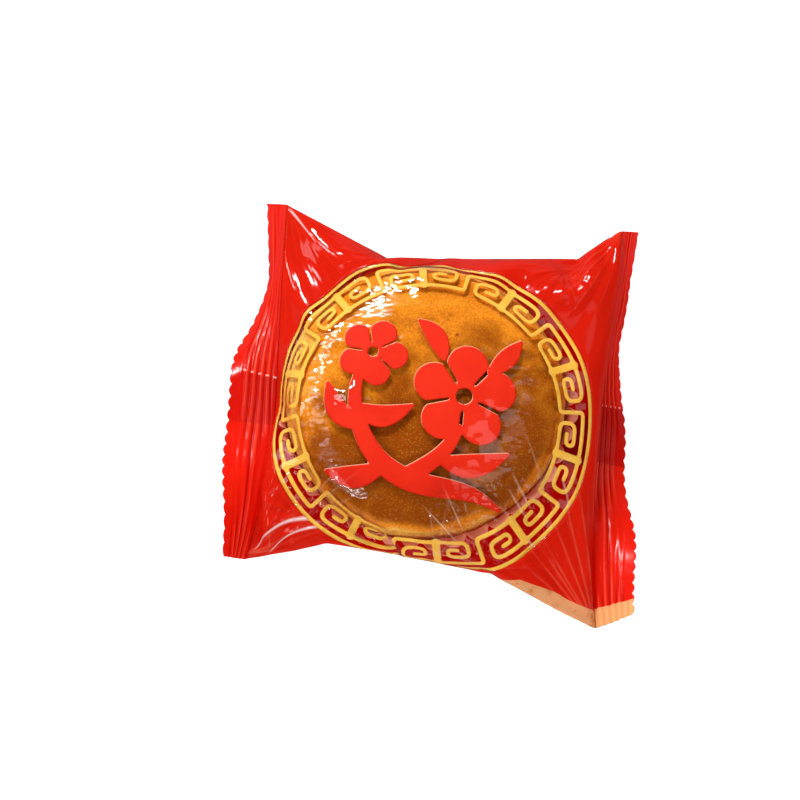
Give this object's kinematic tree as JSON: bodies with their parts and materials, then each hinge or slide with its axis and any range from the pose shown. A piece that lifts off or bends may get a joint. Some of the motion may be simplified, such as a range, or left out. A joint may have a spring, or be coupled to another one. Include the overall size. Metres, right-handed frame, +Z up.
{
  "type": "wedding pastry in a sealed film pack",
  "caption": "Round baked pastry in a fluted paper cup, sealed in a glossy flow-wrapped film pack with a clear window, a crimped seal with a serrated edge at each end and a seam underneath.",
  "frame": {"origin": "middle of the pack's footprint, on the surface that it lies on", "axes": "+Z up, +X along the film tube from one end seal to the other, +Y towards the back of the pack"},
  "size_m": [0.111, 0.1134, 0.0265],
  "materials": {
    "printed_film": "glossy",
    "clear_film": "glossy",
    "gold_print": "glossy",
    "red_print": "glossy",
    "pastry_crust": "glazed, baked",
    "paper_cup": "matte"
  },
  "bodies": {
    "root": {"film_pack": "printed_film"}
  },
  "joints": []
}
